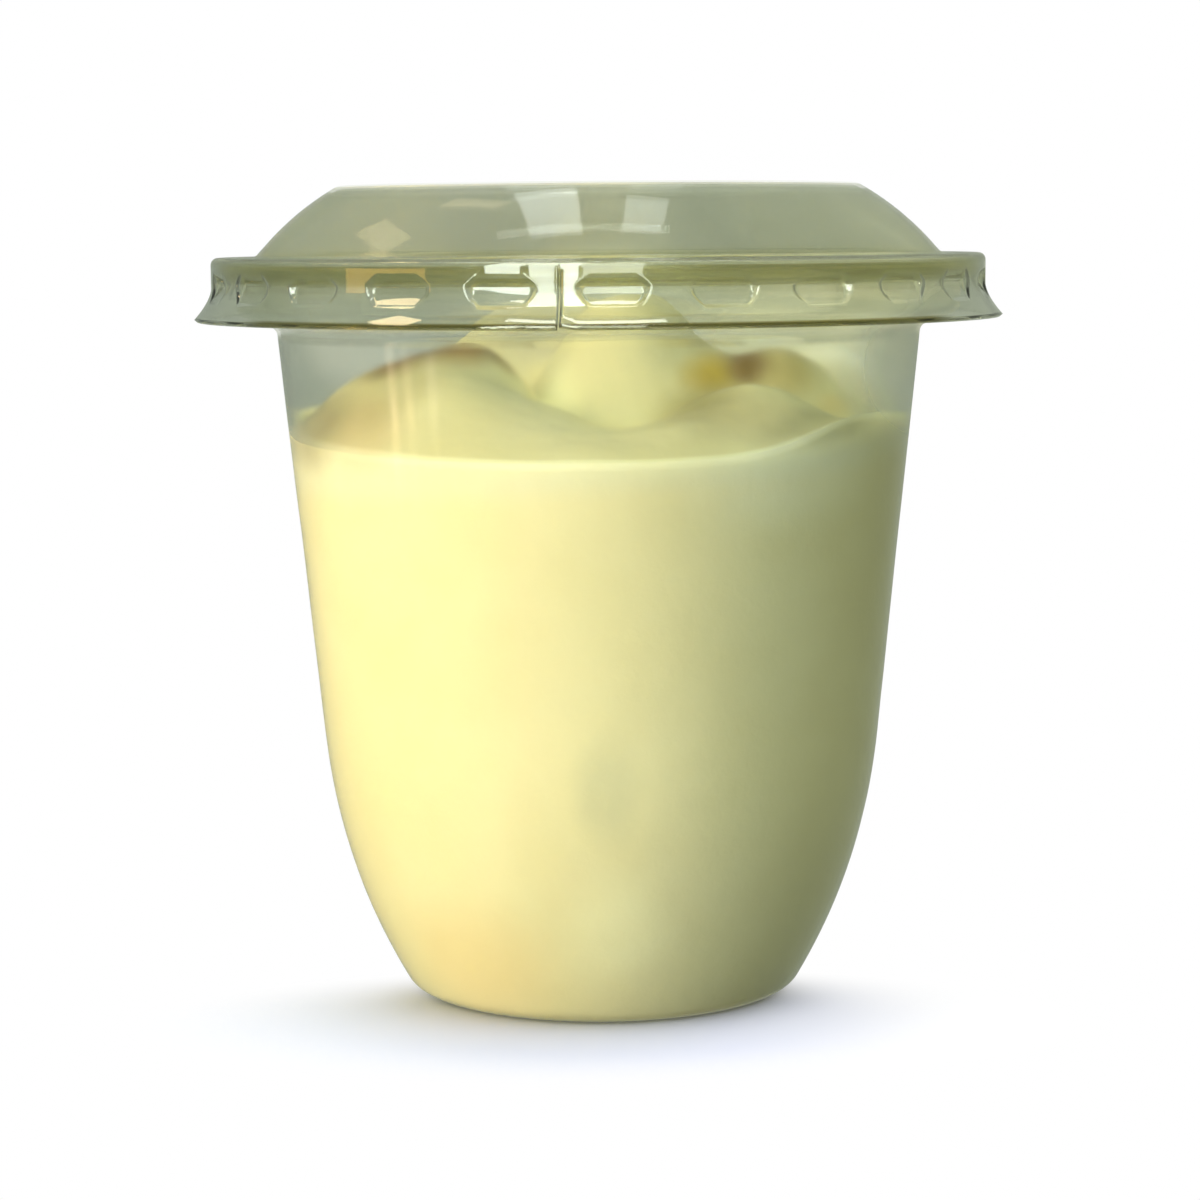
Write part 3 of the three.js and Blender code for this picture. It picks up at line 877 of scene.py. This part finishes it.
def add_lamp(name, azimuth, elevation, distance, size, power, colour, lit):
    """A soft panel that lights the given pieces: it faces the object, or hangs flat if high above it."""
    lamp = bpy.data.lights.new(name, "AREA")
    lamp.shape = "RECTANGLE"
    lamp.size, lamp.size_y = size
    lamp.energy = power
    lamp.color = colour
    panel = bpy.data.objects.new(name, lamp)
    turn, rise = math.radians(azimuth), math.radians(elevation)
    aim = Vector((0, 0, 0.06))
    panel.location = aim + distance * Vector((
        math.sin(turn) * math.cos(rise), -math.cos(turn) * math.cos(rise), math.sin(rise),
    ))
    if elevation < 70:
        panel.rotation_euler = (panel.location - aim).to_track_quat("Z", "Y").to_euler()
    panel.light_linking.receiver_collection = lit
    bpy.context.scene.collection.objects.link(panel)
    return panel


def linked_pieces(name, pieces):
    collection = bpy.data.collections.new(name)
    for piece in pieces:
        collection.objects.link(piece)
    return collection


def light_studio(clear_pieces, cream, floor):
    """Side lamps light the object alone, so that its soft shadow comes from the lamp over the floor."""
    whole = linked_pieces("lit_by_side_lamps", (*clear_pieces, cream))
    plastic = linked_pieces("gleaming_plastic", clear_pieces)
    soft = [add_lamp(name, *settings, whole) for name, settings in LAMPS.items()]
    for panel in soft:
        # A lamp below the floor lights the object through it.
        panel.data.use_shadow = panel.location.z > 0
    soft.append(add_lamp("floor_lamp", *FLOOR_LAMP, linked_pieces("lit_by_floor_lamp", (floor,))))
    for panel in soft:
        panel.visible_glossy = False
        panel.visible_transmission = False
    for name, settings in GLEAMS.items():
        panel = add_lamp(name, *settings, plastic)
        panel.visible_camera = False
        panel.visible_diffuse = False
        panel.visible_transmission = False


# Surroundings that are seen through the clear plastic and mirrored in it, from -1 at the left to 1.
ROOM_COLOURS = (
    (-1, (0.30, 0.34, 0.26)), (-0.4, (0.28, 0.32, 0.27)), (0, (0.38, 0.42, 0.34)),
    (0.32, (0.37, 0.41, 0.33)), (1, (0.22, 0.25, 0.16)),
)
SCATTERED_LIGHT = (0.325, 0.367, 0.325)


def build_world():
    """White behind the object, soft even light on it, and a grey-green room in the clear plastic."""
    world = bpy.data.worlds.new("studio_surroundings")
    bpy.context.scene.world = world
    world.use_nodes = True
    world.cycles.sampling_method = "NONE"
    tree = world.node_tree
    tree.nodes.clear()
    path = add_node(tree, "ShaderNodeLightPath")
    direction = add_node(tree, "ShaderNodeTexCoord").outputs["Generated"]
    parts = add_node(tree, "ShaderNodeSeparateXYZ", {"Vector": direction})
    colours = ramp_along(tree, parts.outputs["X"], ROOM_COLOURS, unit=1)
    white = add_node(tree, "ShaderNodeBackground", {"Color": (1, 1, 1, 1)})
    scattered = add_node(tree, "ShaderNodeBackground", {"Color": (*SCATTERED_LIGHT, 1)})
    room = add_node(tree, "ShaderNodeBackground", {"Color": colours})
    lit = mix_shaders(
        tree, path.outputs["Is Diffuse Ray"], room.outputs["Background"], scattered.outputs["Background"],
    )
    whole = mix_shaders(tree, path.outputs["Is Camera Ray"], lit, white.outputs["Background"])
    add_node(tree, "ShaderNodeOutputWorld", {"Surface": whole})


CAMERA_DISTANCE = 410.0
CAMERA_HEIGHT = 98.6
AIM_HEIGHT = 50.4
CAMERA_SIDE = -0.09
CAMERA_ROLL = 0.0078
FOCAL_PIXELS = 3155.6
IMAGE_PIXELS = 1200


def build_camera():
    data = bpy.data.cameras.new("photo_camera")
    data.sensor_width = 36
    data.lens = FOCAL_PIXELS / IMAGE_PIXELS * data.sensor_width
    data.clip_start = 0.01
    camera = bpy.data.objects.new("photo_camera", data)
    place = Vector((CAMERA_SIDE, -CAMERA_DISTANCE, CAMERA_HEIGHT)) * MM
    aim = Vector((CAMERA_SIDE, 0, AIM_HEIGHT)) * MM
    ahead = (aim - place).normalized()
    right = ahead.cross(Vector((0, 0, 1))).normalized()
    up = right.cross(ahead)
    rolled_right = right * math.cos(CAMERA_ROLL) - up * math.sin(CAMERA_ROLL)
    rolled_up = right * math.sin(CAMERA_ROLL) + up * math.cos(CAMERA_ROLL)
    turn = Matrix((rolled_right, rolled_up, -ahead)).transposed().to_4x4()
    camera.matrix_world = Matrix.Translation(place) @ turn
    bpy.context.scene.collection.objects.link(camera)
    bpy.context.scene.camera = camera


# ---------- the whole scene ----------

def dress(piece, material, node):
    piece.data.materials.append(material)
    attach(piece, "root")
    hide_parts(node)


cup_sheet = clear_sheet(
    "clear_cup_sheet",
    tints=(
        (85, (0.97, 0.98, 0.95)), (91.5, (0.96, 0.96, 0.91)),
        (92.6, (0.80, 0.79, 0.60)), (95, (0.80, 0.79, 0.60)),
    ),
    calm=((84.6, 0), (85.6, 0.7), (95, 0.7)),
    wave_size=30, haze=(0.09, 0.16), cloud=(0.98, 0.98, 0.97),
    smears=(
        ((43, -6, 82), (20, 42, 14), 0.5, (0.84, 0.90, 0.76), False),
        ((36, 27, 83), (36, 30, 10.8), 0.5, (0.64, 0.68, 0.46), False),
        ((-31, 22, 86), (15, 22, 11), 0.25, (0.88, 0.96, 0.98), True),
    ),
)
lid_sheet = clear_sheet(
    "clear_lid_sheet",
    tints=(
        (88, (0.96, 0.96, 0.90)), (92.6, (0.96, 0.96, 0.90)), (93.4, (0.93, 0.92, 0.82)),
        (95, (0.93, 0.93, 0.82)), (96.5, (0.97, 0.98, 0.95)),
    ),
    calm=((87.5, 0), (94, 0), (95.5, 0.3), (103, 0.3), (104, 0.5)),
    wave_size=40, haze=(0.02, 0.06), cloud=(0.94, 0.95, 0.92),
    # Painted shade: a dark line along the front of the skirt's lower edge.
    edge=(87.85, -30, (0.26, 0.22, 0.06)), flat_top=(103.55, 104.05, 0.98),
)
cup = build_cup()
lid = build_lid()
ice_cream = build_ice_cream()
dress(cup, cup_sheet, "cup")
dress(lid, lid_sheet, "lid")
dress(ice_cream, ice_cream_material(), "ice_cream")
light_studio((cup, lid), ice_cream, build_floor())
build_world()
build_camera()

scene = bpy.context.scene
scene.view_settings.view_transform = "Standard"
scene.cycles.transparent_max_bounces = 20
scene.cycles.max_bounces = 28
scene.cycles.transmission_bounces = 28
scene.cycles.glossy_bounces = 16
scene.cycles.diffuse_bounces = 3
scene.cycles.use_denoising = True
